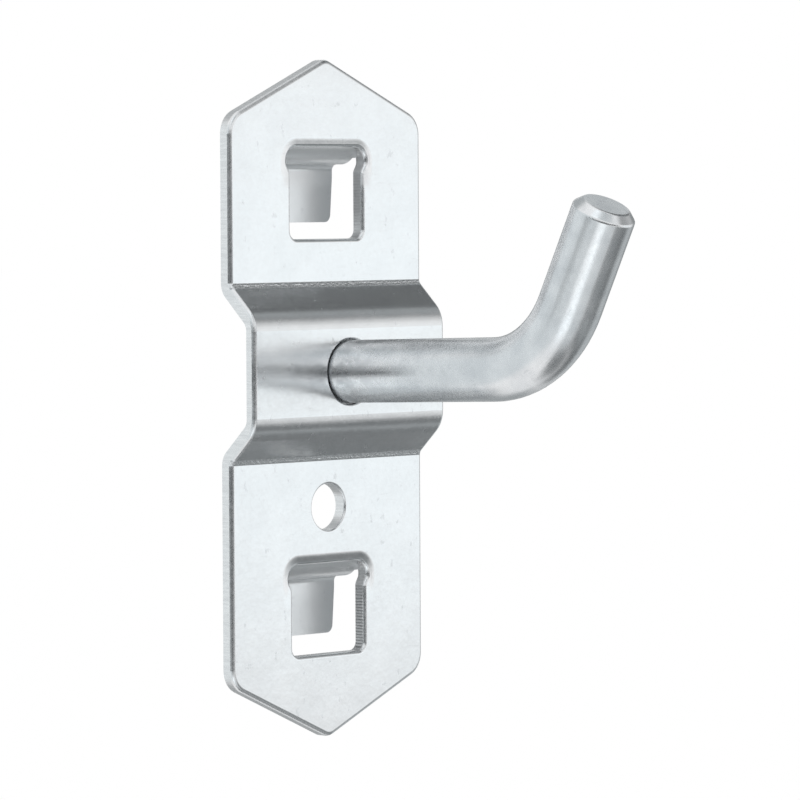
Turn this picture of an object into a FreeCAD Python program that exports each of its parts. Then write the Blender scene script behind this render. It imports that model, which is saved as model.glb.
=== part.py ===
"""Pegboard hook: a pressed steel plate with two folded tabs, and a bent peg headed into its raised band.

Millimetres. +Z is up, the board is at +Y and the peg points to -Y. The plate's back lies in the plane Y = 0,
X = 0 is its plane of symmetry, and Z = 0 is the level at which the peg passes through the band.
"""

import FreeCAD, Part
import math
import os
import Sketcher
from FreeCAD import Vector

SIZES = {
    # The sheet and its outline
    "sheet_thickness": 0.9,
    "plate_width": 18.6,
    "top_margin": 5.65,
    "top_point_rise": 4.1,
    "bottom_margin": 5.78,
    "bottom_point_rise": 4.15,
    "shoulder_radius": 1.7,
    "point_radius": 1.1,
    "edge_rounding": 0.3,
    "hole_rounding": 0.15,
    "window_rounding": 0.25,
    # The raised band
    "band_offset": 2.25,
    "band_thinning": 0.15,
    "band_ramp_angle": 46.5,
    "band_fold_radius": 0.4,
    "band_corner_radius": 2.1,
    "band_hollow_radius": 0.8,
    # The screw hole
    "screw_hole_diameter": 3.2,
    "screw_hole_land": 1.6,
    # The windows and the tabs folded out of them
    "tab_pitch": 28.575,
    "tab_centre_drop": 0.1,
    "window_width": 7.0,
    "window_drop": 5.12,
    "window_corner_radius": 0.6,
    "window_flare": 0.3,
    "window_flare_rise": 0.5,
    "window_flare_radius": 0.5,
    "window_top_radius": 1.2,
    "window_top_drop": 0.45,
    "tab_side_clearance": 0.07,
    "tab_gap": 2.0,
    "tab_arm_length": 0.45,
    "tab_recess": 0.4,
    "tab_fold_radius": 0.45,
    "tab_leg_drop": 4.0,
    "tab_leg_narrowing": 0.22,
    "tab_corner_radius": 0.55,
    # The peg
    "peg_diameter": 4.3,
    "peg_reach": 25,
    "peg_rise_angle": 1.8,
    "peg_bend_radius": 7.75,
    "stub_lean_angle": 26,
    "stub_length": 7.35,
    "stub_chamfer": 0.55,
    "stub_edge_rounding": 0.25,
    "peg_hole_clearance": 0.1,
    # The peg's head, in the hollow behind the band
    "head_rim": 0.66,
    "head_thickness": 1.2,
    "head_clearance": 0.07,
    "head_rounding": 0.35,
}

# Places worked out from the sizes, as expressions of the sheet's cells
HALF_WIDTH = "(Sizes.plate_width / 2)"
FRONT = "(-Sizes.sheet_thickness)"
BAND_BACK = "(-Sizes.band_offset - Sizes.band_thinning)"
BAND_FRONT = "(-Sizes.sheet_thickness - Sizes.band_offset)"
PEG_RADIUS = "(Sizes.peg_diameter / 2)"
PEG_HOLE_RADIUS = f"({PEG_RADIUS} + Sizes.peg_hole_clearance)"
HEAD_RADIUS = f"({PEG_HOLE_RADIUS} + Sizes.head_rim)"

# The band's sharp corners: its hollow takes the head, and the ramps keep the sheet's thickness
HALF_TURN = "tan(Sizes.band_ramp_angle / 2)"
RAMP_HEIGHT = "(Sizes.band_offset / tan(Sizes.band_ramp_angle))"
THINNED_HEIGHT = "(Sizes.band_thinning / tan(Sizes.band_ramp_angle))"
HOLLOW_CORNER = f"({HEAD_RADIUS} + Sizes.head_clearance + Sizes.band_hollow_radius * {HALF_TURN})"
HOLLOW_MOUTH = f"({HOLLOW_CORNER} + {THINNED_HEIGHT} + {RAMP_HEIGHT})"
BAND_CORNER = f"({HOLLOW_CORNER} + {THINNED_HEIGHT} + Sizes.sheet_thickness * {HALF_TURN})"
BAND_FOLD = f"({BAND_CORNER} + {RAMP_HEIGHT})"
BAND_FOOT = f"({BAND_FOLD} + Sizes.band_fold_radius * {HALF_TURN})"
OUTER_FOLD_RADIUS = "(Sizes.band_fold_radius + Sizes.sheet_thickness)"
# The band's rounded corners stop short of the rounded rim of the peg's hole
CORNER_ROOM = f"(({BAND_CORNER} - {PEG_HOLE_RADIUS} - Sizes.hole_rounding) / {HALF_TURN})"
CORNER_RADIUS = f"min(Sizes.band_corner_radius; {CORNER_ROOM})"

SCREW_RADIUS = "(Sizes.screw_hole_diameter / 2)"
SCREW_LEVEL = f"(-{BAND_FOOT} - Sizes.screw_hole_land - {SCREW_RADIUS})"

# The upper tab: its seat is the underside of its arm, which hangs on the edge of the board's hole
SEAT = "(Sizes.tab_pitch / 2 - Sizes.tab_centre_drop)"
ROLL_REACH = "(Sizes.tab_gap - Sizes.tab_fold_radius - Sizes.tab_arm_length)"
ROLL_FRONT = f"({FRONT} + Sizes.tab_recess)"
ROLL_RADIUS = f"({ROLL_REACH} - {ROLL_FRONT})"
ROLL_TOP = f"({SEAT} + {ROLL_RADIUS})"
ROLL_CROSSING = f"({ROLL_TOP} - sqrt({ROLL_RADIUS} ^ 2 - {ROLL_REACH} ^ 2))"
ARM_TOP = f"({SEAT} + Sizes.sheet_thickness)"
ROOT = f"({ROLL_TOP} + Sizes.sheet_thickness)"
OUTER_TAB_RADIUS = "(Sizes.tab_fold_radius + Sizes.sheet_thickness)"
LEG_BACK = "(Sizes.tab_gap + Sizes.sheet_thickness)"
LEG_TOP = f"({SEAT} - 2 * Sizes.tab_fold_radius)"
LEG_FOOT = f"({SEAT} - Sizes.tab_leg_drop)"
HALF_WINDOW = "(Sizes.window_width / 2)"
HALF_FLARE = f"({HALF_WINDOW} + Sizes.window_flare)"
HALF_TAB = f"({HALF_WINDOW} - Sizes.tab_side_clearance)"
HALF_LEG_FOOT = f"({HALF_TAB} - Sizes.tab_leg_narrowing)"
SILL = f"({SEAT} - Sizes.window_drop)"
FLARE_LEVEL = f"({SEAT} - Sizes.window_flare_rise)"
# The window's top rim hangs a little over the roll, and its corners end above the flare's
WINDOW_TOP = f"({ROLL_TOP} - Sizes.window_top_drop)"
TOP_CORNER_ROOM = f"({WINDOW_TOP} - {SEAT} - Sizes.window_flare_radius / 2)"
WINDOW_TOP_RADIUS = f"min(Sizes.window_top_radius; {TOP_CORNER_ROOM})"

PLATE_TOP = f"({ROLL_TOP} + Sizes.top_margin)"
TOP_SHOULDER = f"({PLATE_TOP} - Sizes.top_point_rise)"
PLATE_BOTTOM = f"({SILL} - Sizes.tab_pitch - Sizes.bottom_margin)"
BOTTOM_SHOULDER = f"({PLATE_BOTTOM} + Sizes.bottom_point_rise)"

# The peg's centre line starts inside the head; its tip is set by the reach of the stub's outermost point,
# which lies on the rounding between the stub's side and its chamfer; an even chamfer leans at 45 degrees
CHAMFER_ANGLE = 45
PEG_START = f"({BAND_BACK} + Sizes.head_thickness / 2)"
EASED_END = f"(Sizes.stub_chamfer + Sizes.stub_edge_rounding * tan({CHAMFER_ANGLE} / 2))"
EDGE_BULGE = "(Sizes.stub_edge_rounding * (1 - cos(Sizes.stub_lean_angle)))"
SIDE_OVERHANG = f"({PEG_RADIUS} * cos(Sizes.stub_lean_angle) - {EASED_END} * sin(Sizes.stub_lean_angle))"
TIP = f"({BAND_FRONT} - Sizes.peg_reach + {SIDE_OVERHANG} + {EDGE_BULGE})"

# How a sketch numbers the points of a line or an arc, and its own two axes; they cross at the origin
START, END, CENTRE = range(1, 4)
X_AXIS, Y_AXIS = range(-1, -3, -1)
ORIGIN = X_AXIS
# Limits for telling faces apart by the lean of their normals
FRONT_FACING = -0.5
UPRIGHT = 1e-6

doc = FreeCAD.newDocument("pegboard_hook")


def fill_sheet():
    """Put each driving dimension in a cell whose alias is its name."""
    sheet = doc.addObject("Spreadsheet::Sheet", "Sizes")
    for row, (name, size) in enumerate(SIZES.items(), start=1):
        sheet.set(f"A{row}", name)
        sheet.set(f"B{row}", str(size))
        sheet.setAlias(f"B{row}", name)
    doc.recompute()
    return sheet


sizes = fill_sheet()


def value(expression):
    """An expression's number, for a sketch's first positions."""
    return float(sizes.evalExpression(expression))


def new_body(name):
    body = doc.addObject("PartDesign::Body", name)
    body.Label = name
    return body


def origin_feature(body, role):
    return next(feature for feature in body.Origin.OriginFeatures if feature.Role == role)


def new_sketch(body, name, plane):
    sketch = body.newObject("Sketcher::SketchObject", name)
    sketch.AttachmentSupport = [(origin_feature(body, plane), "")]
    sketch.MapMode = "FlatFace"
    return sketch


def tie(sketch, kind, *places):
    """Add a geometric constraint."""
    sketch.addConstraint(Sketcher.Constraint(kind, *places))


def bind(sketch, expression, kind, *places):
    """Add a dimension and bind it to an expression."""
    index = sketch.addConstraint(Sketcher.Constraint(kind, *places, value(expression)))
    sketch.setExpression(f"Constraints[{index}]", expression)


def bind_angle(sketch, expression, line):
    """Bind a line's direction to an expression in degrees."""
    index = sketch.addConstraint(Sketcher.Constraint("Angle", line, math.radians(value(expression))))
    sketch.setExpression(f"Constraints[{index}]", expression)


def place_point(sketch, geometry, spot, across, up):
    """Fix a point at two expressions, measured from the sketch's origin."""
    for kind, axis, expression in (("DistanceX", Y_AXIS, across), ("DistanceY", X_AXIS, up)):
        if expression == "0":
            tie(sketch, "PointOnObject", geometry, spot, axis)
        else:
            bind(sketch, expression, kind, ORIGIN, START, geometry, spot)


def add_arc(sketch, centre, start, finish):
    """The counter-clockwise arc about a centre from one point to another."""
    radius = (start - centre).Length
    first = math.atan2(start.y - centre.y, start.x - centre.x)
    last = math.atan2(finish.y - centre.y, finish.x - centre.x)
    if last < first:
        last += 2 * math.pi
    circle = Part.Circle(centre, Vector(0, 0, 1), radius)
    return sketch.addGeometry(Part.ArcOfCircle(circle, first, last), False)


def add_line(sketch, start, finish):
    return sketch.addGeometry(Part.LineSegment(start, finish), False)


def add_circle(sketch, across, up, radius):
    centre = Vector(value(across), value(up), 0)
    circle = sketch.addGeometry(Part.Circle(centre, Vector(0, 0, 1), value(radius)), False)
    bind(sketch, radius, "Radius", circle)
    place_point(sketch, circle, CENTRE, across, up)


def join_by_arc(sketch, corner, before, after, radius):
    """Join two trimmed sides by a tangent arc; their sharp corner stays where it is given."""
    meets = sketch.Geometry[before].EndPoint
    leaves = sketch.Geometry[after].StartPoint
    arriving = meets - sketch.Geometry[before].StartPoint
    leaving = sketch.Geometry[after].EndPoint - leaves
    left_turn = arriving.cross(leaving).z > 0
    inward = Vector(-arriving.y, arriving.x, 0) if left_turn else Vector(arriving.y, -arriving.x, 0)
    centre = meets + inward * (value(radius) / arriving.Length)
    if left_turn:
        arc = add_arc(sketch, centre, meets, leaves)
        near, far = START, END
    else:
        arc = add_arc(sketch, centre, leaves, meets)
        near, far = END, START
    tie(sketch, "Tangent", before, END, arc, near)
    tie(sketch, "Tangent", arc, far, after, START)
    bind(sketch, radius, "Radius", arc)
    across, up = corner
    sharp = sketch.addGeometry(Part.Point(Vector(value(across), value(up), 0)), True)
    tie(sketch, "PointOnObject", sharp, START, before)
    tie(sketch, "PointOnObject", sharp, START, after)
    place_point(sketch, sharp, START, across, up)


def add_outline(sketch, corners):
    """Closed outline through (across, up, radius) corners; a radius of None leaves the corner sharp."""
    points = [Vector(value(across), value(up), 0) for across, up, _ in corners]
    ways = [(after - point).normalize() for point, after in zip(points, points[1:] + points[:1])]
    trims = []
    for index, (_, _, radius) in enumerate(corners):
        turn = ways[index - 1].getAngle(ways[index])
        trims.append(0 if radius is None else value(radius) * math.tan(turn / 2))
    sides = []
    for index, point in enumerate(points):
        following = (index + 1) % len(points)
        start = point + ways[index] * trims[index]
        finish = points[following] - ways[index] * trims[following]
        sides.append(add_line(sketch, start, finish))
    for index, (across, up, radius) in enumerate(corners):
        before, after = sides[index - 1], sides[index]
        if radius is None:
            tie(sketch, "Coincident", before, END, after, START)
            place_point(sketch, after, START, across, up)
        else:
            join_by_arc(sketch, (across, up), before, after, radius)


def mirrored(corners):
    """The right half of an outline, bottom to top, followed by its mirror image."""
    return corners + [(f"-{across}", up, radius) for across, up, radius in reversed(corners)]


def pad_across(body, name, sketch, width):
    """Extrude a section evenly to both sides of the middle plane."""
    pad = body.newObject("PartDesign::Pad", name)
    pad.Profile = sketch
    pad.SideType = "Symmetric"
    pad.setExpression("Length", width)
    return pad


def pad_back(body, name, sketch, depth):
    """Extrude an outline towards the board."""
    pad = body.newObject("PartDesign::Pad", name)
    pad.Profile = sketch
    pad.Reversed = True
    pad.setExpression("Length", depth)
    return pad


def cut_through(body, name, sketch):
    pocket = body.newObject("PartDesign::Pocket", name)
    pocket.Profile = sketch
    pocket.SideType = "Symmetric"
    pocket.Type = "ThroughAll"
    return pocket


def press_sheet(body):
    """The sheet seen from its edge: flat, ramp, raised band, ramp, flat."""
    sketch = new_sketch(body, "sheet_section", "YZ_Plane")
    fold = "Sizes.band_fold_radius"
    hollow = "Sizes.band_hollow_radius"
    add_outline(sketch, [
        (BAND_BACK, f"-{HOLLOW_CORNER}", hollow),
        (BAND_BACK, HOLLOW_CORNER, hollow),
        ("0", HOLLOW_MOUTH, OUTER_FOLD_RADIUS),
        ("0", PLATE_TOP, None),
        (FRONT, PLATE_TOP, None),
        (FRONT, BAND_FOLD, fold),
        (BAND_FRONT, BAND_CORNER, CORNER_RADIUS),
        (BAND_FRONT, f"-{BAND_CORNER}", CORNER_RADIUS),
        (FRONT, f"-{BAND_FOLD}", fold),
        (FRONT, PLATE_BOTTOM, None),
        ("0", PLATE_BOTTOM, None),
        ("0", f"-{HOLLOW_MOUTH}", OUTER_FOLD_RADIUS),
    ])
    pad_across(body, "pressed_sheet", sketch, "Sizes.plate_width")


def point_ends(body):
    """Trim the sheet to its pointed ends: what lies between the outline and a frame round it goes."""
    sketch = new_sketch(body, "plate_outline", "XZ_Plane")
    shoulder = "Sizes.shoulder_radius"
    point = "Sizes.point_radius"
    add_outline(sketch, [
        ("0", PLATE_BOTTOM, point),
        (HALF_WIDTH, BOTTOM_SHOULDER, shoulder),
        (HALF_WIDTH, TOP_SHOULDER, shoulder),
        ("0", PLATE_TOP, point),
        (f"-{HALF_WIDTH}", TOP_SHOULDER, shoulder),
        (f"-{HALF_WIDTH}", BOTTOM_SHOULDER, shoulder),
    ])
    add_outline(sketch, mirrored([
        ("Sizes.plate_width", f"({PLATE_BOTTOM} - Sizes.bottom_margin)", None),
        ("Sizes.plate_width", f"({PLATE_TOP} + Sizes.top_margin)", None),
    ]))
    cut_through(body, "pointed_ends", sketch)


def cut_round_hole(body, name, level, radius):
    sketch = new_sketch(body, f"{name}_circle", "XZ_Plane")
    add_circle(sketch, "0", level, radius)
    cut_through(body, name, sketch)


def cut_window(body):
    """The upper window, a little wider where the tab rolls out of the sheet."""
    sketch = new_sketch(body, "window_outline", "XZ_Plane")
    add_outline(sketch, mirrored([
        (HALF_WINDOW, SILL, "Sizes.window_corner_radius"),
        (HALF_WINDOW, FLARE_LEVEL, "Sizes.window_flare_radius"),
        (HALF_FLARE, SEAT, "Sizes.window_flare_radius"),
        (HALF_FLARE, WINDOW_TOP, WINDOW_TOP_RADIUS),
    ]))
    return cut_through(body, "window", sketch)


def fill_lintel(body):
    """Over the whole window, set back from its rim, the sheet rolls back as far as the plane of its back."""
    sketch = new_sketch(body, "lintel_section", "YZ_Plane")
    centre = Vector(value(ROLL_REACH), value(ROLL_TOP), 0)
    top_front = Vector(value(ROLL_FRONT), value(ROLL_TOP), 0)
    top_back = Vector(0, value(ROLL_TOP), 0)
    foot = Vector(0, value(ROLL_CROSSING), 0)
    roll = add_arc(sketch, centre, top_front, foot)
    back = add_line(sketch, foot, top_back)
    top = add_line(sketch, top_back, top_front)
    for side, following in ((roll, back), (back, top), (top, roll)):
        tie(sketch, "Coincident", side, END, following, START)
    bind(sketch, ROLL_RADIUS, "Radius", roll)
    place_point(sketch, roll, CENTRE, ROLL_REACH, ROLL_TOP)
    place_point(sketch, top, START, "0", ROLL_TOP)
    tie(sketch, "Horizontal", top)
    tie(sketch, "Vertical", back)
    return pad_across(body, "lintel", sketch, f"2 * {HALF_FLARE}")


def fold_tab(body):
    """The tab seen from its edge: it rolls out of the sheet, runs back as an arm and folds down."""
    sketch = new_sketch(body, "tab_section", "YZ_Plane")
    add_outline(sketch, [
        (ROLL_FRONT, ROOT, None),
        (ROLL_FRONT, SEAT, ROLL_RADIUS),
        ("Sizes.tab_gap", SEAT, "Sizes.tab_fold_radius"),
        ("Sizes.tab_gap", LEG_TOP, None),
        (LEG_BACK, LEG_TOP, None),
        (LEG_BACK, ARM_TOP, OUTER_TAB_RADIUS),
        ("0", ARM_TOP, ROLL_REACH),
        ("0", ROOT, None),
    ])
    return pad_across(body, "tab", sketch, f"2 * {HALF_TAB}")


def hang_leg(body):
    """The tab's leg, behind the board, seen from the front."""
    sketch = new_sketch(body, "leg_outline", "XZ_Plane")
    sketch.setExpression("AttachmentOffset.Base.z", "-Sizes.tab_gap")
    add_outline(sketch, mirrored([
        (HALF_LEG_FOOT, LEG_FOOT, "Sizes.tab_corner_radius"),
        (HALF_TAB, LEG_TOP, None),
    ]))
    return pad_back(body, "leg", sketch, "Sizes.sheet_thickness")


def repeat_below(body, name, features):
    """The same features again, one board pitch lower."""
    pattern = body.newObject("PartDesign::LinearPattern", name)
    pattern.Originals = features
    pattern.Direction = (origin_feature(body, "Z_Axis"), [""])
    pattern.Reversed = True
    pattern.Occurrences = 2
    pattern.setExpression("Length", "Sizes.tab_pitch")
    body.Tip = pattern


def normal_across(face, point):
    """How far a face's outward normal leans towards the board at a point."""
    u, v = face.Surface.parameter(point)
    return face.normalAt(u, v).y


def front_rims(shape):
    """Names of the sharp edges between the sheet's front and a wall cut square through it."""
    names = []
    for number, edge in enumerate(shape.Edges, start=1):
        middle = edge.valueAt((edge.FirstParameter + edge.LastParameter) / 2)
        leans = sorted(normal_across(face, middle) for face in shape.ancestorsOfType(edge, Part.Face))
        if leans[0] < FRONT_FACING and abs(leans[-1]) < UPRIGHT:
            names.append(f"Edge{number}")
    return names


def round_rims(body, name, radius):
    """Roll over the front edges that are still sharp, as the press leaves them."""
    doc.recompute()
    base = body.Tip
    fillet = body.newObject("PartDesign::Fillet", name)
    fillet.Base = (base, front_rims(base.Shape))
    fillet.setExpression("Radius", radius)


def build_back_plate():
    body = new_body("back_plate")
    press_sheet(body)
    point_ends(body)
    round_rims(body, "rolled_edge", "Sizes.edge_rounding")
    cut_round_hole(body, "peg_hole", "0", PEG_HOLE_RADIUS)
    cut_round_hole(body, "screw_hole", SCREW_LEVEL, SCREW_RADIUS)
    round_rims(body, "rolled_hole_rims", "Sizes.hole_rounding")
    repeat_below(body, "lower_window", [cut_window(body)])
    round_rims(body, "rolled_window_rims", "Sizes.window_rounding")
    repeat_below(body, "lower_tab", [fill_lintel(body), fold_tab(body), hang_leg(body)])
    return body


def peg_path(body):
    """The peg's centre line: a run that rises a little, a bend, and a stub that leans away from the board."""
    sketch = new_sketch(body, "peg_path", "YZ_Plane")
    rise = math.radians(value("Sizes.peg_rise_angle"))
    lean = math.radians(value("Sizes.stub_lean_angle"))
    radius = value("Sizes.peg_bend_radius")
    run_way = Vector(-math.cos(rise), math.sin(rise), 0)
    stub_way = Vector(-math.sin(lean), math.cos(lean), 0)
    start = Vector(value(BAND_BACK), 0, 0) - run_way * (value("Sizes.head_thickness") / 2 / math.cos(rise))
    bend_depth = radius * (math.cos(lean) - math.sin(rise))
    stub_depth = value("Sizes.stub_length") * math.sin(lean)
    bend_start = value(TIP) + stub_depth + bend_depth
    run_end = start + run_way * ((start.x - bend_start) / math.cos(rise))
    centre = run_end + Vector(math.sin(rise), math.cos(rise), 0) * radius
    stub_start = centre + Vector(-math.cos(lean), -math.sin(lean), 0) * radius
    tip = stub_start + stub_way * value("Sizes.stub_length")
    run = add_line(sketch, start, run_end)
    bend = add_arc(sketch, centre, stub_start, run_end)
    stub = add_line(sketch, stub_start, tip)
    tie(sketch, "Tangent", run, END, bend, END)
    tie(sketch, "Tangent", bend, START, stub, START)
    bind(sketch, "Sizes.peg_bend_radius", "Radius", bend)
    bind(sketch, "Sizes.stub_length", "Distance", stub)
    bind_angle(sketch, "180 - Sizes.peg_rise_angle", run)
    bind_angle(sketch, "90 + Sizes.stub_lean_angle", stub)
    bind(sketch, PEG_START, "DistanceX", ORIGIN, START, run, START)
    bind(sketch, TIP, "DistanceX", ORIGIN, START, stub, END)
    pierce = sketch.addGeometry(Part.Point(Vector(value(BAND_BACK), 0, 0)), True)
    place_point(sketch, pierce, START, BAND_BACK, "0")
    tie(sketch, "PointOnObject", pierce, START, run)
    return sketch, Vector(0, tip.x, tip.y)


def sweep_rod(body, path):
    """A round section carried along the centre line."""
    section = body.newObject("Sketcher::SketchObject", "rod_section")
    section.AttachmentSupport = [(path, "Edge1")]
    section.MapMode = "NormalToEdge"
    add_circle(section, "0", "0", PEG_RADIUS)
    rod = body.newObject("PartDesign::AdditivePipe", "rod")
    rod.Profile = section
    rod.Spine = path


def upset_head(body):
    """The flat head that seats on the back of the band, in its hollow."""
    sketch = new_sketch(body, "head_outline", "XZ_Plane")
    sketch.setExpression("AttachmentOffset.Base.z", f"-{BAND_BACK}")
    add_circle(sketch, "0", "0", HEAD_RADIUS)
    pad_back(body, "head", sketch, "Sizes.head_thickness")


def ease_rims(body, kind, name, centre, count, dimension, size):
    """Round or chamfer the circular edges, so many of them, whose centres are nearest to a point."""
    doc.recompute()
    base = body.Tip
    rims = [(number, edge) for number, edge in enumerate(base.Shape.Edges, start=1) if edge.isClosed()]
    rims.sort(key=lambda rim: rim[1].CenterOfMass.distanceToPoint(centre))
    dressing = body.newObject(kind, name)
    dressing.Base = (base, [f"Edge{number}" for number, _ in rims[:count]])
    dressing.setExpression(dimension, size)


def build_peg():
    body = new_body("peg")
    path, tip = peg_path(body)
    sweep_rod(body, path)
    upset_head(body)
    head_back = Vector(0, value(f"{BAND_BACK} + Sizes.head_thickness"), 0)
    ease_rims(body, "PartDesign::Fillet", "head_edge", head_back, 1, "Radius", "Sizes.head_rounding")
    ease_rims(body, "PartDesign::Chamfer", "tip_chamfer", tip, 1, "Size", "Sizes.stub_chamfer")
    ease_rims(body, "PartDesign::Fillet", "tip_edges", tip, 2, "Radius", "Sizes.stub_edge_rounding")
    return body


def check(bodies):
    """Stop unless every object was worked out and each piece is one valid solid."""
    for thing in doc.Objects:
        if "Invalid" in thing.State or "Error" in thing.State:
            raise RuntimeError(f"{thing.Name} failed: {thing.State}")
    for body in bodies:
        shape = body.Shape
        if shape.isNull() or not shape.isValid() or len(shape.Solids) != 1:
            raise RuntimeError(f"{body.Label} is not one valid solid")


pieces = [build_back_plate(), build_peg()]
doc.recompute()
check(pieces)
os.makedirs("parts", exist_ok=True)
for piece in pieces:
    piece.Shape.exportStep(f"parts/{piece.Label}.step")
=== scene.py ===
"""Looks of the pegboard hook: bright zinc plating on sheet and rod, in a white studio with soft panels.

Metres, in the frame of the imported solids. Sizes of surface detail are written in millimetres.
"""

import math

import bpy
from mathutils import Matrix, Vector


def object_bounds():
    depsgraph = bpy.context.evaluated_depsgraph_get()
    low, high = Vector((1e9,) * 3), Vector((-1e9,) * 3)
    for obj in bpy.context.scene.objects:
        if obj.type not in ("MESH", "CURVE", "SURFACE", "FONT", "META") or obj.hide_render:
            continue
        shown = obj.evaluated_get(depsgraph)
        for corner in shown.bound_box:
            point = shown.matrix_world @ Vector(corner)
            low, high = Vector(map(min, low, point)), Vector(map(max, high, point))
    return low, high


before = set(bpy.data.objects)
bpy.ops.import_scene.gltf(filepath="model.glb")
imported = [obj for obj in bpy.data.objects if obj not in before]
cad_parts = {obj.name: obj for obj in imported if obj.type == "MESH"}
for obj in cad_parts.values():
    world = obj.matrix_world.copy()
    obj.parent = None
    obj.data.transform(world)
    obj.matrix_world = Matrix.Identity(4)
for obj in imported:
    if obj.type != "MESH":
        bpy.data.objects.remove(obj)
solid_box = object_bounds()

MM = 0.001
IN_MM = (1 / MM, 1 / MM, 1 / MM)
SQUARE = ((-1, -1), (1, -1), (1, 1), (-1, 1))

# Sockets of a mix node that mixes colours
MIX_FACTOR = 0
MIX_FIRST = 6
MIX_SECOND = 7
MIX_RESULT = 2

# The photograph's view: where the camera stands, in degrees and metres, and what it aims at, to the
# right of the frame's origin and up from it
CAMERA_AZIMUTH = -46.17
CAMERA_ELEVATION = 2.48
CAMERA_ROLL = 0.275
CAMERA_DISTANCE = 337.3 * MM
AIM_RIGHT = 5.593 * MM
AIM_UP = -2.05 * MM
IMAGE_SIDE = 800
FOCAL_PIXELS = 4900
SENSOR_WIDTH = 36

# The studio
FLOOR_DROP = 35 * MM
FLOOR_HALF_SIDE = 3
PANEL_STEPS = 24
WHITE = (1, 1, 1, 1)
PANEL_TINT = (0.95, 1, 1.02)
# Name, distance in metres, then in degrees (azimuth, elevation) and half width and height, grey, and how
# soft the edges are
PANELS = (
    ("flag_at_the_camera", 0.3, (-46, -2), (68, 11), 0.1, (0.25, 0.4)),
    ("flag_round_the_camera", 0.31, (-46, -3), (34, 22), 0.15, (0.5, 0.6)),
    ("flag_above", 0.34, (68, 46), (44, 45), 0.14, (0.25, 0.8)),
    ("flag_below", 0.34, (58, -38), (58, 32), 0.18, (0.25, 0.6)),
    ("grey_under_the_stub", 0.32, (38, -42), (28, 10), 0.38, (0.4, 0.5)),
    ("flag_underneath", 0.33, (20, -74), (80, 15), 0.2, (0.3, 0.5)),
    ("grey_above_on_the_right", 0.33, (64, 36), (16, 12), 0.34, (0.6, 0.6)),
    ("grey_in_front_above", 0.36, (-10, 46), (26, 20), 0.6, (0.4, 0.4)),
    ("grey_in_front_below", 0.36, (-18, -46), (28, 18), 0.72, (0.4, 0.4)),
    ("grey_behind", 0.38, (-118, -4), (64, 46), 0.84, (0.3, 0.3)),
    ("grey_behind_above", 0.37, (165, 45), (55, 28), 0.45, (0.3, 0.5)),
    ("grey_behind_below", 0.37, (160, -40), (50, 28), 0.38, (0.3, 0.5)),
    ("grey_to_the_right", 0.4, (128, 0), (54, 22), 0.3, (0.3, 0.4)),
    ("grey_to_the_right_below", 0.32, (90, -25), (31, 17), 0.54, (0.5, 0.5)),
    ("grey_for_the_end", 0.3, (118, 35), (16, 14), 0.6, (0.5, 0.5)),
    ("light_above", 0.28, (-41, 55), (18, 16), 1.4, (0.6, 0.6)),
    ("light_below", 0.28, (-50, -39), (25, 15), 1.6, (0.8, 0.7)),
    ("light_in_front", 0.29, (46, -2), (20, 10), 1.05, (0.5, 0.5)),
)

# The peg's bend, in millimetres and radians: its centre, its turn and the way in which the run arrives
BEND_CENTRE = (0, -16.291, 8.19)
BEND_RADIUS = 7.75
BEND_TURN = math.radians(62.2)
RUN_RISE = math.radians(1.8)
RUN_WAY = (0, -math.cos(RUN_RISE), math.sin(RUN_RISE))
RUN_DOWN = (0, -math.sin(RUN_RISE), -math.cos(RUN_RISE))

# The sheet, in millimetres: the fronts of the band and the flats, and how far the folds lie from the peg's
# level, up and down
BAND_FRONT = -3.15
SHEET_FRONT = -0.9
FOLD_LEVEL = 5.95

# The windows, in millimetres: the level half-way between them and half their pitch
WINDOWS_MIDDLE = -1.95
WINDOWS_APART = 14.29
# Their rounded top corners: the corners' centres, seen from a window's middle, and their radius
CORNER_ACROSS = 2.9
CORNER_UP = 2.1
CORNER_RADIUS = 0.9

# Where marks in the plating begin or end, from and to, in millimetres
BEHIND_FRONT = (SHEET_FRONT + 0.1, SHEET_FRONT + 0.3)
FOLD_REACH = (0.06, 0.22)
CROWN_REACH = (0.3, 3.5)
WINDOW_REACH_UP = (3.6, 3.9)
WINDOW_REACH_ACROSS = (3.9, 4.2)
DRAWN_REACH = (CORNER_RADIUS, CORNER_RADIUS + 0.75)
RIGHT_WALL = (3.0, 3.2)
RIDGES_REACH = (0.0, 1.6)
ROOT_REACH = (BAND_FRONT - 5.5, BAND_FRONT - 1.0)

# How far a face looks to the side where a rim begins and ends, and to the front where a cut wall ends
RIM_BEGINS = (0.05, 0.3)
RIM_ENDS = (0.85, 0.97)
WALL_ENDS = (0.1, 0.35)

# The ridges on a window's right wall: how close they lie, and how strong they are in the upper window and
# at a window's top
RIDGES_SCALE = 1.5
UPPER_RIDGES = 0.2
TOP_RIDGES = 0.15

# Noise levels between which a mark sets in
GRAIN_LEVELS = (0.2, 0.8)
SHEET_CLOUD_LEVELS = (0.3, 0.7)
PITS_LEVELS = (0.66, 0.74)
RUBS_LEVELS = (0.62, 0.72)
TEARS_LEVELS = (0.3, 0.7)
GROOVES_LEVELS = (0.2, 0.6)
ROD_CLOUD_LEVELS = (0.25, 0.75)
STREAKS_LEVELS = (0.5, 0.8)
STAINS_LEVELS = (0.62, 0.74)
SCUFFS_LEVELS = (0.45, 0.65)

# Depths of the relief, in millimetres
SHEET_CLOUD_DEPTH = 0.03
SHEET_GRAIN_DEPTH = 0.0006
CROWN_DEPTH = 0.14
DRAWN_DEPTH = 0.13
CRAZING_DEPTH = 0.09
TEARS_DEPTH = 0.012
RIDGES_DEPTH = 0.035
STREAKS_DEPTH = 0.006
ROD_GRAIN_DEPTH = 0.0012
SCUFFS_DEPTH = 0.02

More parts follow.
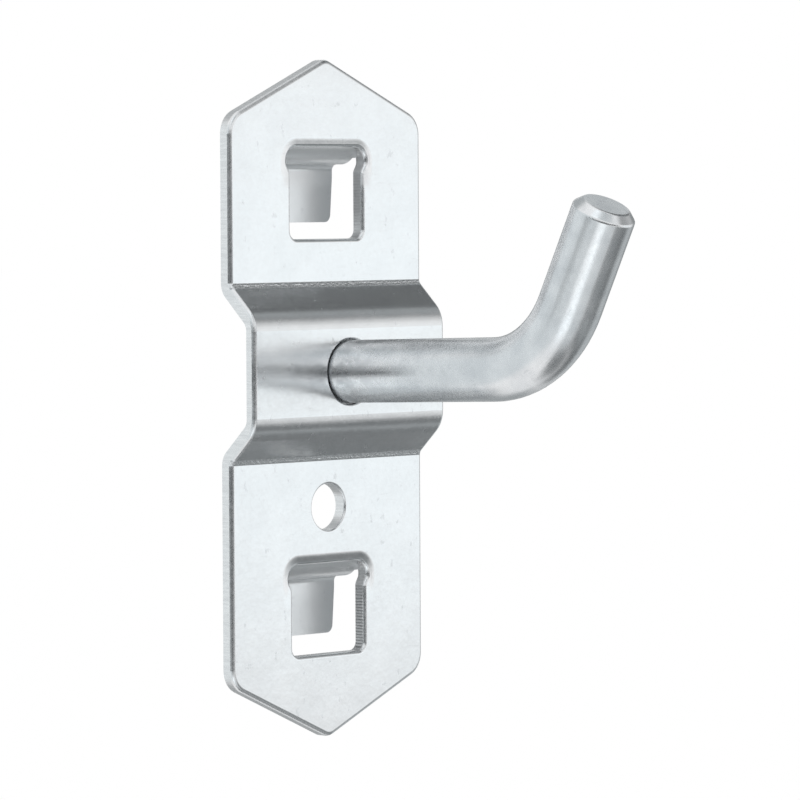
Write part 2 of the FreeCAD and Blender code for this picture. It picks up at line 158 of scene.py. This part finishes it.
# Least and most roughness, and how far a mark covers the colour under it
SHEET_ROUGHNESS = (0.18, 0.25)
ROD_ROUGHNESS = (0.23, 0.31)
PITS_COVER = 0.15
# The rim cover is painted shade: how far a dark line along the rounded rims covers the colour under it
RIM_SHADE_COVER = 0.35
STREAKS_COVER = 0.35
STAINS_COVER = 0.3
ROOT_MOTTLING_COVER = 0.45

# Colours of the plating, and the greys that paint shade on the rounded rims, the windows' right walls and
# their grooves
SHEET_LIGHT = (0.9, 0.915, 0.926, 1)
SHEET_DARK = (0.858, 0.874, 0.886, 1)
# The pit grey also paints shade along the rounded rims
SHEET_PIT_AND_EDGE_SHADE = (0.55, 0.57, 0.59, 1)
CUT_LIGHT = (0.93, 0.93, 0.93, 1)
CUT_DARK = (0.8, 0.8, 0.805, 1)
# Painted shade on the cut face of each window's right wall
RIGHT_WALL_SHADE = (0.6, 0.605, 0.61, 1)
# Painted shade in the grooves between the right wall's ridges
GROOVE_SHADE = (0.33, 0.335, 0.34, 1)
ROD_LIGHT = (0.84, 0.853, 0.865, 1)
ROD_DARK = (0.68, 0.7, 0.72, 1)
ROD_PATCH = (0.5, 0.52, 0.54, 1)


class Shader:
    """A material's nodes, written as calls that return sockets."""

    def __init__(self, name):
        self.material = bpy.data.materials.new(name)
        self.material.use_nodes = True
        self.tree = self.material.node_tree
        self.tree.nodes.clear()

    def add(self, kind, inputs=(), **settings):
        node = self.tree.nodes.new(kind)
        for key, setting in settings.items():
            setattr(node, key, setting)
        for key, given in dict(inputs).items():
            if isinstance(given, bpy.types.NodeSocket):
                self.tree.links.new(given, node.inputs[key])
            else:
                node.inputs[key].default_value = given
        return node

    def finish(self, shader):
        self.add("ShaderNodeOutputMaterial", {"Surface": shader})
        return self.material

    def math(self, operation, first, second=0.0, third=0.0):
        return self.add("ShaderNodeMath", {0: first, 1: second, 2: third}, operation=operation).outputs[0]

    def product(self, first, second):
        """Two values multiplied, which for two masks is where both show."""
        return self.math("MULTIPLY", first, second)

    def distance(self, value, level):
        """How far a value is from a level, to either side."""
        return self.math("ABSOLUTE", self.math("SUBTRACT", value, level))

    def step(self, value, low, high, out_low=0.0, out_high=1.0):
        """A smooth step from one value to another."""
        inputs = {"Value": value, "From Min": low, "From Max": high, "To Min": out_low, "To Max": out_high}
        return self.add("ShaderNodeMapRange", inputs, interpolation_type="SMOOTHSTEP").outputs[0]

    def fade(self, value, low, high):
        """A smooth step down from 1 to 0."""
        return self.step(value, low, high, 1.0, 0.0)

    def mix(self, factor, first, second):
        inputs = {MIX_FACTOR: factor, MIX_FIRST: first, MIX_SECOND: second}
        return self.add("ShaderNodeMix", inputs, data_type="RGBA").outputs[MIX_RESULT]

    def vector(self, operation, first, second):
        return self.add("ShaderNodeVectorMath", {0: first, 1: second}, operation=operation)

    def stretched(self, vector, scale):
        return self.vector("MULTIPLY", vector, scale).outputs["Vector"]

    def dot(self, vector, way):
        return self.vector("DOT_PRODUCT", vector, way).outputs["Value"]

    def length(self, vector):
        return self.add("ShaderNodeVectorMath", {0: vector}, operation="LENGTH").outputs["Value"]

    def parts(self, vector):
        return self.add("ShaderNodeSeparateXYZ", {0: vector}).outputs

    def joined(self, across, out, along):
        return self.add("ShaderNodeCombineXYZ", {0: across, 1: out, 2: along}).outputs[0]

    def noise(self, vector, scale, detail, roughness):
        inputs = {"Vector": vector, "Scale": scale, "Detail": detail, "Roughness": roughness}
        return self.add("ShaderNodeTexNoise", inputs).outputs["Fac"]

    def bump(self, height, depth, normal=None):
        """Relief of a given depth in millimetres."""
        inputs = {"Height": height, "Distance": depth * MM, "Strength": 1.0}
        if normal is not None:
            inputs["Normal"] = normal
        return self.add("ShaderNodeBump", inputs).outputs[0]

    def metal(self, colour, roughness, normal):
        inputs = {"Base Color": colour, "Metallic": 1.0, "Roughness": roughness, "Normal": normal}
        return self.finish(self.add("ShaderNodeBsdfPrincipled", inputs).outputs[0])


def window_places(shader, across, deep, high):
    """Masks of the windows: the tab's roll, the drawn-in rim, the right wall and how ridged it is."""
    from_axis = shader.math("ABSOLUTE", across)
    from_window = shader.distance(shader.distance(high, WINDOWS_MIDDLE), WINDOWS_APART)
    inside = shader.fade(from_window, *WINDOW_REACH_UP)
    inside = shader.product(inside, shader.fade(from_axis, *WINDOW_REACH_ACROSS))
    rolled = shader.product(inside, shader.step(deep, *BEHIND_FRONT))

    upper = shader.math("GREATER_THAN", high, WINDOWS_MIDDLE)
    middle = shader.math("MULTIPLY_ADD", upper, 2 * WINDOWS_APART, WINDOWS_MIDDLE - WINDOWS_APART)
    up = shader.math("SUBTRACT", high, middle)
    beside = shader.math("MAXIMUM", shader.math("SUBTRACT", from_axis, CORNER_ACROSS), 0.0)
    above = shader.math("MAXIMUM", shader.math("SUBTRACT", up, CORNER_UP), 0.0)
    drawn = shader.fade(shader.length(shader.joined(beside, 0.0, above)), *DRAWN_REACH)
    drawn = shader.product(drawn, shader.step(up, 0.0, CORNER_UP))

    right_wall = shader.product(inside, shader.step(across, *RIGHT_WALL))
    ridging = shader.math("MULTIPLY_ADD", upper, UPPER_RIDGES - 1, 1.0)
    ridging = shader.product(ridging, shader.step(up, *RIDGES_REACH, 1.0, TOP_RIDGES))
    return rolled, drawn, right_wall, ridging


def zinc_sheet():
    """Bright zinc on rolled and pressed sheet: clouded flats, pits, crazed folds and sheared walls, with
    painted shade along the rounded rims, on the windows' right walls and in the grooves between their
    ridges.
    """
    shader = Shader("zinc_sheet")
    place = shader.add("ShaderNodeTexCoord")
    spot = shader.stretched(place.outputs["Object"], IN_MM)
    across, deep, high = shader.parts(spot)
    sideways, lean, _ = shader.parts(place.outputs["Normal"])
    sideways = shader.math("ABSOLUTE", sideways)
    rim = shader.product(shader.step(sideways, *RIM_BEGINS), shader.fade(sideways, *RIM_ENDS))
    wall = shader.fade(shader.math("ABSOLUTE", lean), *WALL_ENDS)
    from_peg = shader.math("ABSOLUTE", high)
    crown = shader.fade(from_peg, *CROWN_REACH)
    fold = shader.fade(shader.distance(from_peg, FOLD_LEVEL), *FOLD_REACH)
    fold = shader.product(fold, shader.fade(deep, *BEHIND_FRONT))
    rolled, drawn, right_wall, ridging = window_places(shader, across, deep, high)
    sheared = shader.product(wall, right_wall)
    ridged = shader.product(sheared, ridging)

    cloud = shader.noise(spot, scale=0.3, detail=4.0, roughness=0.6)
    grain = shader.noise(spot, scale=3.0, detail=3.0, roughness=0.6)
    pits = shader.noise(shader.stretched(spot, (1.0, 1.0, 0.7)), scale=1.7, detail=2.0, roughness=0.6)
    pits = shader.step(pits, *PITS_LEVELS)
    rubs = shader.noise(shader.stretched(spot, (0.35, 1.0, 3.0)), scale=1.2, detail=2.0, roughness=0.5)
    rubs = shader.step(rubs, *RUBS_LEVELS)
    tears = shader.noise(shader.stretched(spot, (9.0, 0.7, 9.0)), scale=1.0, detail=3.0, roughness=0.6)
    crazing = shader.noise(shader.stretched(spot, (4.0, 7.0, 7.0)), scale=1.0, detail=2.0, roughness=0.6)
    bands = {"Vector": spot, "Scale": RIDGES_SCALE, "Distortion": 1.5, "Detail": 2.0}
    ridges = shader.add("ShaderNodeTexWave", bands, bands_direction="Z").outputs["Fac"]
    # Painted shade in the troughs between the ridges
    groove_shade = shader.product(ridged, shader.fade(ridges, *GROOVES_LEVELS))

    colour = shader.mix(shader.step(cloud, *SHEET_CLOUD_LEVELS), SHEET_DARK, SHEET_LIGHT)
    colour = shader.mix(shader.product(pits, PITS_COVER), colour, SHEET_PIT_AND_EDGE_SHADE)
    # Painted shade: a dark line along the rounded rims, in the pit grey
    colour = shader.mix(shader.product(rim, RIM_SHADE_COVER), colour, SHEET_PIT_AND_EDGE_SHADE)
    torn = shader.mix(shader.step(tears, *TEARS_LEVELS), CUT_DARK, CUT_LIGHT)
    colour = shader.mix(wall, colour, torn)
    # Painted shade: the cut face of each window's right wall is darkened to a mid grey inside the window
    colour = shader.mix(sheared, colour, RIGHT_WALL_SHADE)
    # Painted shade: the ridges' troughs are darkened
    colour = shader.mix(groove_shade, colour, GROOVE_SHADE)

    roughness = shader.step(grain, *GRAIN_LEVELS, *SHEET_ROUGHNESS)
    rougher = ((pits, 0.08), (rubs, 0.04), (fold, 0.05), (wall, 0.05), (rim, 0.06), (rolled, 0.15))
    for mask, more in rougher:
        roughness = shader.math("ADD", roughness, shader.product(mask, more))

    normal = shader.bump(cloud, SHEET_CLOUD_DEPTH)
    normal = shader.bump(crown, CROWN_DEPTH, normal)
    normal = shader.bump(shader.product(drawn, -1.0), DRAWN_DEPTH, normal)
    normal = shader.bump(grain, SHEET_GRAIN_DEPTH, normal)
    normal = shader.bump(shader.product(crazing, fold), CRAZING_DEPTH, normal)
    normal = shader.bump(shader.product(tears, wall), TEARS_DEPTH, normal)
    normal = shader.bump(shader.product(ridges, ridged), RIDGES_DEPTH, normal)
    return shader.metal(colour, roughness, normal)


def along_the_peg(shader, spot):
    """Coordinates that follow the peg: across it, out from the bend's centre and along it."""
    from_centre = shader.vector("SUBTRACT", spot, BEND_CENTRE).outputs["Vector"]
    ahead = shader.dot(from_centre, RUN_WAY)
    below = shader.dot(from_centre, RUN_DOWN)
    turned = shader.math("ARCTAN2", ahead, below)
    turned = shader.math("MINIMUM", shader.math("MAXIMUM", turned, 0.0), BEND_TURN)
    sine = shader.math("SINE", turned)
    cosine = shader.math("COSINE", turned)
    out = shader.math("ADD", shader.product(ahead, sine), shader.product(below, cosine))
    past = shader.math("SUBTRACT", shader.product(ahead, cosine), shader.product(below, sine))
    along = shader.math("ADD", past, shader.product(turned, BEND_RADIUS))
    across, _, _ = shader.parts(spot)
    return shader.joined(across, out, along)


def zinc_rod():
    """Bright zinc on drawn rod: faint streaks along it, stains, and darker mottled patches with fine
    relief near the root.
    """
    shader = Shader("zinc_rod")
    place = shader.add("ShaderNodeTexCoord")
    spot = shader.stretched(place.outputs["Object"], IN_MM)
    _, deep, _ = shader.parts(spot)
    root = shader.step(deep, *ROOT_REACH)
    path = along_the_peg(shader, spot)

    cloud = shader.noise(spot, scale=0.45, detail=4.0, roughness=0.6)
    grain = shader.noise(spot, scale=3.5, detail=3.0, roughness=0.6)
    streaks = shader.noise(shader.stretched(path, (3.0, 3.0, 0.16)), scale=1.0, detail=3.0, roughness=0.6)
    stains = shader.noise(shader.stretched(path, (1.0, 1.0, 0.5)), scale=1.3, detail=3.0, roughness=0.65)
    stains = shader.step(stains, *STAINS_LEVELS)
    scuffs = shader.noise(shader.stretched(path, (1.6, 1.6, 0.9)), scale=1.0, detail=4.0, roughness=0.65)
    # Darker mottled patches near the root, growing towards the plate
    root_mottling = shader.product(shader.step(scuffs, *SCUFFS_LEVELS), root)

    colour = shader.mix(shader.step(cloud, *ROD_CLOUD_LEVELS), ROD_DARK, ROD_LIGHT)
    colour = shader.mix(shader.step(streaks, *STREAKS_LEVELS, 0.0, STREAKS_COVER), colour, ROD_DARK)
    colour = shader.mix(shader.product(stains, STAINS_COVER), colour, ROD_PATCH)
    colour = shader.mix(shader.product(root_mottling, ROOT_MOTTLING_COVER), colour, ROD_PATCH)

    roughness = shader.step(grain, *GRAIN_LEVELS, *ROD_ROUGHNESS)
    rougher = ((stains, 0.08), (root_mottling, 0.12))
    for mask, more in rougher:
        roughness = shader.math("ADD", roughness, shader.product(mask, more))

    normal = shader.bump(streaks, STREAKS_DEPTH)
    normal = shader.bump(grain, ROD_GRAIN_DEPTH, normal)
    normal = shader.bump(shader.product(scuffs, root), SCUFFS_DEPTH, normal)
    return shader.metal(colour, roughness, normal)


def dress(node, material):
    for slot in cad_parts[node].material_slots:
        slot.material = material


def add_object(name, content):
    made = bpy.data.objects.new(name, content)
    bpy.context.scene.collection.objects.link(made)
    return made


def direction(azimuth, elevation):
    """The way to a place in the studio: azimuth 0 is straight in front of the hook, 90 to its right."""
    turned = math.radians(azimuth)
    raised = math.radians(elevation)
    return Vector((
        math.sin(turned) * math.cos(raised),
        -math.cos(turned) * math.cos(raised),
        math.sin(raised),
    ))


def view_axes():
    """The camera's right, up and backward directions before it is rolled."""
    right = direction(CAMERA_AZIMUTH + 90, 0)
    back = direction(CAMERA_AZIMUTH, CAMERA_ELEVATION)
    return right, back.cross(right), back


def add_camera():
    lens = bpy.data.cameras.new("camera")
    lens.sensor_width = SENSOR_WIDTH
    lens.lens = SENSOR_WIDTH * FOCAL_PIXELS / IMAGE_SIDE
    camera = add_object("camera", lens)
    right, up, back = view_axes()
    place = right * AIM_RIGHT + up * AIM_UP + back * CAMERA_DISTANCE
    rolled = Matrix.Rotation(-math.radians(CAMERA_ROLL), 3, "Z")
    turned = Matrix((right, up, back)).transposed() @ rolled
    camera.matrix_world = Matrix.Translation(place) @ turned.to_4x4()
    bpy.context.scene.camera = camera


def add_world():
    world = bpy.data.worlds.new("studio")
    world.use_nodes = True
    background = world.node_tree.nodes["Background"]
    background.inputs["Color"].default_value = WHITE
    bpy.context.scene.world = world


def add_floor():
    mesh = bpy.data.meshes.new("floor")
    low = solid_box[0]
    level = low[2] - FLOOR_DROP
    corners = [(x * FLOOR_HALF_SIDE, y * FLOOR_HALF_SIDE, level) for x, y in SQUARE]
    mesh.from_pydata(corners, [], [(0, 1, 2, 3)])
    floor = add_object("floor", mesh)
    floor.visible_glossy = False
    shader = Shader("floor")
    surface = shader.add("ShaderNodeBsdfDiffuse", {"Color": WHITE})
    mesh.materials.append(shader.finish(surface.outputs[0]))


def panel_light(name, grey, softness):
    """One grey that clears towards the panel's edges."""
    shader = Shader(name)
    across, up, _ = shader.parts(shader.add("ShaderNodeTexCoord").outputs["UV"])
    soft_across, soft_up = softness
    across = shader.fade(shader.math("ABSOLUTE", across), 1 - soft_across, 1.0)
    up = shader.fade(shader.math("ABSOLUTE", up), 1 - soft_up, 1.0)
    clear = shader.add("ShaderNodeBsdfTransparent")
    colour = tuple(grey * part for part in PANEL_TINT)
    light = shader.add("ShaderNodeEmission", {"Color": (*colour, 1)})
    shown = shader.product(across, up)
    surface = shader.add("ShaderNodeMixShader", {0: shown, 1: clear.outputs[0], 2: light.outputs[0]})
    return shader.finish(surface.outputs[0])


def add_panel(name, distance, middle, reach, grey, softness):
    """A curved studio panel with soft edges, which shows only in the metal; angles in degrees."""
    lines = [2 * step / PANEL_STEPS - 1 for step in range(PANEL_STEPS + 1)]
    spots = [(across, up) for up in lines for across in lines]
    azimuth, elevation = middle
    wide, high = reach
    ways = [direction(azimuth + across * wide, elevation + up * high) for across, up in spots]
    corners = [distance * way for way in ways]
    row = len(lines)
    cells = [level * row + column for level in range(PANEL_STEPS) for column in range(PANEL_STEPS)]
    mesh = bpy.data.meshes.new(name)
    mesh.from_pydata(corners, [], [(cell, cell + 1, cell + row + 1, cell + row) for cell in cells])
    layer = mesh.uv_layers.new(name="spots")
    for loop in mesh.loops:
        layer.data[loop.index].uv = spots[loop.vertex_index]
    mesh.materials.append(panel_light(name, grey, softness))
    panel = add_object(name, mesh)
    for ray in ("camera", "diffuse", "transmission", "volume_scatter", "shadow"):
        setattr(panel, f"visible_{ray}", False)


add_camera()
add_world()
add_floor()
for panel in PANELS:
    add_panel(*panel)
dress("back_plate", zinc_sheet())
dress("peg", zinc_rod())
bpy.context.scene.view_settings.view_transform = "Standard"
